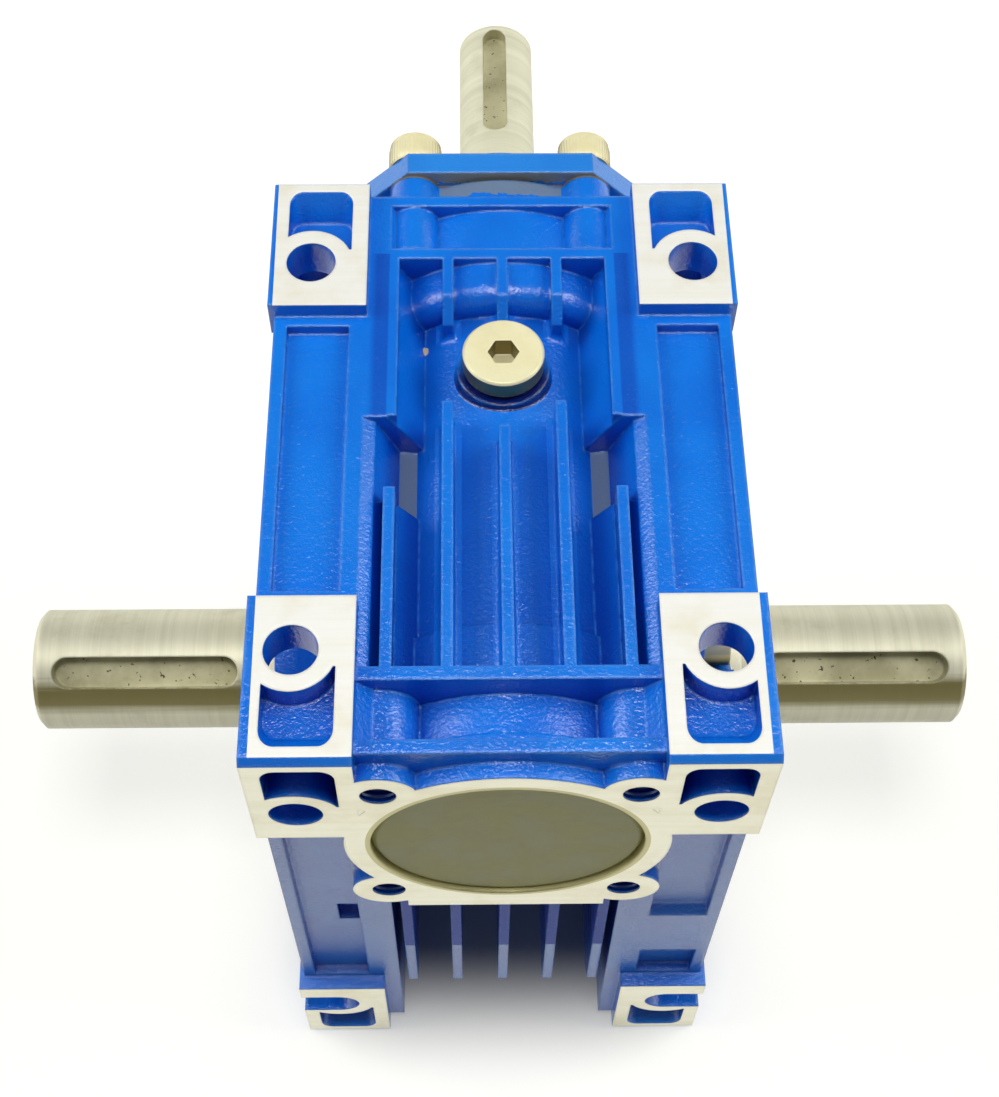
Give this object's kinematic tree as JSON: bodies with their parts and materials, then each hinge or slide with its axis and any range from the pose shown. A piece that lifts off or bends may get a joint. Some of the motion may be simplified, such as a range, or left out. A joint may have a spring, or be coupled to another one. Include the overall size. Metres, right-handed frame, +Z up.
{
  "type": "worm gear reducer",
  "caption": "Worm gear reducer with a ribbed cast housing, machined mounting pads, a keyed input shaft and a keyed double-ended output shaft at right angles to it.",
  "frame": {"origin": "centre of the foot hole pattern on the base plane", "axes": "+X along the output axis, +Y along the worm axis towards the input shaft, +Z up"},
  "size_m": [0.192, 0.19, 0.144],
  "materials": {
    "blue_paint": "gloss paint over a casting, bare on machined faces",
    "shaft_steel": "turned steel",
    "plated_steel": "yellow zinc plate",
    "spring_steel": "oiled spring steel",
    "bearing_steel": "ground",
    "bronze": "machined bronze",
    "seal_rubber": "moulded rubber",
    "cap_rubber": "moulded rubber over a steel cup",
    "gasket_paper": "pressed sheet",
    "soft_aluminium": "annealed washer"
  },
  "bodies": {
    "housing": {"housing": "blue_paint", "input_cover": "blue_paint", "output_cover": "blue_paint", "cover_bolts": "plated_steel", "output_cover_screws": "plated_steel", "input_seal": "seal_rubber", "output_seal_right": "seal_rubber", "output_seal_left": "seal_rubber", "cover_gasket": "gasket_paper", "cover_o_ring": "seal_rubber", "rear_bearing_outer_ring": "bearing_steel", "input_bearing_outer_ring": "bearing_steel", "output_bearing_right_outer_ring": "bearing_steel", "output_bearing_left_outer_ring": "bearing_steel", "worm_end_cap": "cap_rubber", "worm_circlip": "spring_steel", "oil_plug": "plated_steel", "plug_washer": "soft_aluminium"},
    "output_train": {"output_shaft": "shaft_steel", "wheel_rim": "bronze", "wheel_hub": "shaft_steel", "hub_key": "shaft_steel", "output_circlips": "spring_steel", "output_bearing_right_inner_ring": "bearing_steel", "output_bearing_left_inner_ring": "bearing_steel"},
    "worm": {"worm_shaft": "shaft_steel", "rear_bearing_inner_ring": "bearing_steel", "input_bearing_inner_ring": "bearing_steel"},
    "rear_balls": {"rear_bearing_balls": "bearing_steel"},
    "input_balls": {"input_bearing_balls": "bearing_steel"},
    "output_balls_left": {"output_bearing_left_balls": "bearing_steel"},
    "output_balls_right": {"output_bearing_right_balls": "bearing_steel"}
  },
  "joints": [
    {"name": "output_spin", "type": "hinge", "parent": "housing", "child": "output_train", "pos_m": [0, 0, 0.06], "axis": [1, 0, 0], "continuous": true},
    {"name": "input_spin", "type": "hinge", "parent": "housing", "child": "worm", "pos_m": [0, 0, 0.11], "axis": [0, 1, 0], "continuous": true},
    {"name": "rear_balls_spin", "type": "hinge", "parent": "housing", "child": "rear_balls", "pos_m": [0, 0, 0.11], "axis": [0, 1, 0], "continuous": true},
    {"name": "input_balls_spin", "type": "hinge", "parent": "housing", "child": "input_balls", "pos_m": [0, 0, 0.11], "axis": [0, 1, 0], "continuous": true},
    {"name": "output_balls_left_spin", "type": "hinge", "parent": "housing", "child": "output_balls_left", "pos_m": [0, 0, 0.06], "axis": [1, 0, 0], "continuous": true},
    {"name": "output_balls_right_spin", "type": "hinge", "parent": "housing", "child": "output_balls_right", "pos_m": [0, 0, 0.06], "axis": [1, 0, 0], "continuous": true}
  ],
  "couplings": [
    {"joint": "input_spin", "follows": "output_spin", "ratio": 30},
    {"joint": "rear_balls_spin", "follows": "output_spin", "ratio": 11.373},
    {"joint": "input_balls_spin", "follows": "output_spin", "ratio": 11.844},
    {"joint": "output_balls_left_spin", "follows": "output_spin", "ratio": 0.4222},
    {"joint": "output_balls_right_spin", "follows": "output_spin", "ratio": 0.4222}
  ]
}
